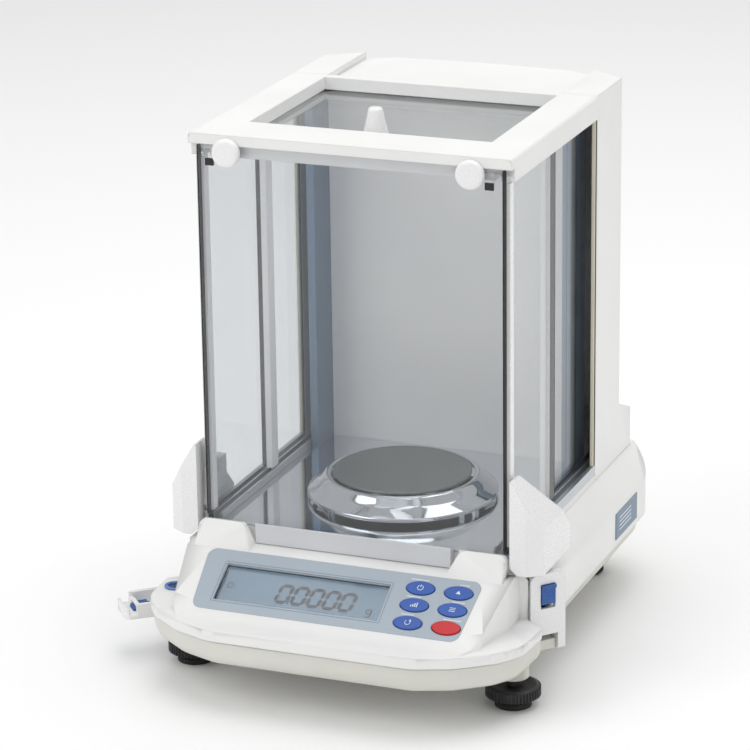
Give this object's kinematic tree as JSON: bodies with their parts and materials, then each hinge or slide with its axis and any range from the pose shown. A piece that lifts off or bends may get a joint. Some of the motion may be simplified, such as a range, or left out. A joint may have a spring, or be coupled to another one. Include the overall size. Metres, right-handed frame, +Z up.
{
  "type": "analytical balance",
  "caption": "Laboratory analytical balance with a glass draft shield, telescoping side doors, sliding top door, round pan, breeze ring, sloped display console and levelling feet.",
  "frame": {"origin": "on the table plane, straight below the centre of the weighing pan", "axes": "+X to the balance's right, +Y to its back, +Z up; the front faces -Y"},
  "size_m": [0.2788, 0.326, 0.34],
  "materials": {
    "white_casing": "fine textured",
    "ivory_casing": "satin moulded",
    "white_trim": "smooth moulded",
    "zinc_screw": "zinc plated",
    "polished_steel": "mirror polished",
    "grey_plastic": "satin",
    "panel_film": "printed film",
    "clear_window": "clear",
    "lcd_glass": "liquid crystal",
    "circuit_board": "solder mask",
    "blue_key": "moulded",
    "red_key": "moulded",
    "level_cup": "moulded",
    "vial_glass": "clear",
    "black_rubber": "matt",
    "black_plastic": "satin",
    "door_glass": "polished",
    "front_glass": "polished",
    "track_aluminium": "anodised",
    "blue_latch": "moulded",
    "cast_aluminium": "as cast",
    "machined_aluminium": "milled",
    "steel_weight": "polished",
    "socket_metal": "plated",
    "label_film": "printed film",
    "grey_panel": "smooth",
    "pillar_aluminium": "blue-grey anodised",
    "pan_steel": "fine satin",
    "chrome_ring": "mirror polished"
  },
  "bodies": {
    "base": {"upper_casing": "white_casing", "rear_housing": "white_casing", "top_frame": "white_casing", "bottom_casing": "ivory_casing", "casing_screws": "zinc_screw", "floor_plate": "polished_steel", "front_bar": "grey_plastic", "key_panel": "panel_film", "lcd_window": "clear_window", "lcd_module": "lcd_glass", "key_board": "circuit_board", "level_body": "level_cup", "level_vial": "vial_glass", "lower_track_left": "track_aluminium", "lower_track_right": "track_aluminium", "rear_feet": "black_rubber", "force_sensor_chassis": "cast_aluminium", "force_sensor_lever": "machined_aluminium", "weight_lifter": "cast_aluminium", "main_board": "circuit_board", "serial_port": "socket_metal", "dc_inlet": "black_plastic", "rating_plate": "label_film", "back_panel": "grey_panel", "rear_pillars": "pillar_aluminium", "column_seals": "black_rubber", "front_glass": "front_glass", "glass_clips": "black_plastic", "hinge_pins": "zinc_screw", "pan_support": "machined_aluminium"},
    "left_front_door": {"front_pane_left": "door_glass", "door_grip_left": "white_trim"},
    "right_front_door": {"front_pane_right": "door_glass", "door_grip_right": "white_trim"},
    "left_rear_door": {"rear_pane_left": "door_glass", "rear_stile_left": "white_trim"},
    "right_rear_door": {"rear_pane_right": "door_glass", "rear_stile_right": "white_trim"},
    "top_door": {"top_pane": "door_glass", "top_knob": "white_trim"},
    "left_thumb_screw": {"thumb_screw_left": "white_trim"},
    "right_thumb_screw": {"thumb_screw_right": "white_trim"},
    "left_lever": {"lever_left": "white_trim"},
    "right_lever": {"lever_right": "white_trim"},
    "left_latch": {"latch_left": "blue_latch"},
    "right_latch": {"latch_right": "blue_latch"},
    "on_off_key": {"key_on_off": "blue_key"},
    "calibrate_key": {"key_calibrate": "blue_key"},
    "range_key": {"key_range": "blue_key"},
    "mode_key": {"key_mode": "blue_key"},
    "print_key": {"key_print": "blue_key"},
    "re_zero_key": {"key_re_zero": "red_key"},
    "pan": {"pan": "pan_steel"},
    "breeze_ring": {"breeze_ring": "chrome_ring"},
    "left_foot_pad": {"foot_pad_left": "black_rubber"},
    "right_foot_pad": {"foot_pad_right": "black_rubber"},
    "left_foot_wheel": {"foot_wheel_left": "black_plastic"},
    "right_foot_wheel": {"foot_wheel_right": "black_plastic"},
    "calibration_weight": {"calibration_weight": "steel_weight"}
  },
  "joints": [
    {"name": "left_front_door_slide", "type": "slide", "parent": "base", "child": "left_front_door", "axis": [0, 1, 0], "range_m": [0, 0.088]},
    {"name": "left_rear_door_slide", "type": "slide", "parent": "base", "child": "left_rear_door", "axis": [0, 1, 0], "range_m": [0, 0.044]},
    {"name": "right_front_door_slide", "type": "slide", "parent": "base", "child": "right_front_door", "axis": [0, 1, 0], "range_m": [0, 0.088]},
    {"name": "right_rear_door_slide", "type": "slide", "parent": "base", "child": "right_rear_door", "axis": [0, 1, 0], "range_m": [0, 0.044]},
    {"name": "top_door_slide", "type": "slide", "parent": "base", "child": "top_door", "axis": [0, 1, 0], "range_m": [0, 0.066]},
    {"name": "left_thumb_screw_turn", "type": "hinge", "parent": "base", "child": "left_thumb_screw", "pos_m": [-0.075, -0.0844, 0.318], "axis": [0, -1, 0], "range_deg": [0, 1080]},
    {"name": "right_thumb_screw_turn", "type": "hinge", "parent": "base", "child": "right_thumb_screw", "pos_m": [0.075, -0.0844, 0.318], "axis": [0, -1, 0], "range_deg": [0, 1080]},
    {"name": "left_lever_swing", "type": "hinge", "parent": "base", "child": "left_lever", "pos_m": [-0.1128, -0.0655, 0.031], "axis": [0.6428, -0.766, 0], "range_deg": [-90, 0]},
    {"name": "left_latch_slide", "type": "slide", "parent": "left_lever", "child": "left_latch", "axis": [-0.766, -0.6428, 0], "range_m": [-0.0026, 0], "stiffness_N_per_m": 150},
    {"name": "right_lever_swing", "type": "hinge", "parent": "base", "child": "right_lever", "pos_m": [0.1128, -0.0655, 0.031], "axis": [0.6428, 0.766, 0], "range_deg": [0, 90]},
    {"name": "right_latch_slide", "type": "slide", "parent": "right_lever", "child": "right_latch", "axis": [0, 0, 1], "range_m": [-0.0026, 0], "stiffness_N_per_m": 150},
    {"name": "on_off_key_press", "type": "slide", "parent": "base", "child": "on_off_key", "axis": [0, -0.5208, 0.8537], "range_m": [-0.0006, 0], "stiffness_N_per_m": 900},
    {"name": "calibrate_key_press", "type": "slide", "parent": "base", "child": "calibrate_key", "axis": [0, -0.5208, 0.8537], "range_m": [-0.0006, 0], "stiffness_N_per_m": 900},
    {"name": "range_key_press", "type": "slide", "parent": "base", "child": "range_key", "axis": [0, -0.5208, 0.8537], "range_m": [-0.0006, 0], "stiffness_N_per_m": 900},
    {"name": "mode_key_press", "type": "slide", "parent": "base", "child": "mode_key", "axis": [0, -0.5208, 0.8537], "range_m": [-0.0006, 0], "stiffness_N_per_m": 900},
    {"name": "print_key_press", "type": "slide", "parent": "base", "child": "print_key", "axis": [0, -0.5208, 0.8537], "range_m": [-0.0006, 0], "stiffness_N_per_m": 900},
    {"name": "re_zero_key_press", "type": "slide", "parent": "base", "child": "re_zero_key", "axis": [0, -0.5208, 0.8537], "range_m": [-0.0006, 0], "stiffness_N_per_m": 900},
    {"name": "pan_lift", "type": "slide", "parent": "base", "child": "pan", "axis": [0, 0, 1], "range_m": [0, 0.06]},
    {"name": "breeze_ring_lift", "type": "slide", "parent": "base", "child": "breeze_ring", "axis": [0, 0, 1], "range_m": [0, 0.04]},
    {"name": "left_foot_height", "type": "slide", "parent": "base", "child": "left_foot_pad", "axis": [0, 0, 1], "range_m": [-0.0025, 0.0025]},
    {"name": "left_foot_turn", "type": "hinge", "parent": "left_foot_pad", "child": "left_foot_wheel", "pos_m": [-0.102, -0.0884, 0.01], "axis": [0, 0, 1], "range_deg": [-720, 720]},
    {"name": "right_foot_height", "type": "slide", "parent": "base", "child": "right_foot_pad", "axis": [0, 0, 1], "range_m": [-0.0025, 0.0025]},
    {"name": "right_foot_turn", "type": "hinge", "parent": "right_foot_pad", "child": "right_foot_wheel", "pos_m": [0.102, -0.0884, 0.01], "axis": [0, 0, 1], "range_deg": [-720, 720]},
    {"name": "calibration_weight_lift", "type": "slide", "parent": "base", "child": "calibration_weight", "axis": [0, 0, 1], "range_m": [0, 0.003]}
  ],
  "couplings": [
    {"joint": "left_rear_door_slide", "follows": "left_front_door_slide", "ratio": 0.5},
    {"joint": "left_foot_turn", "follows": "left_foot_height", "rad_per_m": 5026.5},
    {"joint": "right_rear_door_slide", "follows": "right_front_door_slide", "ratio": 0.5},
    {"joint": "right_foot_turn", "follows": "right_foot_height", "rad_per_m": 5026.5}
  ]
}
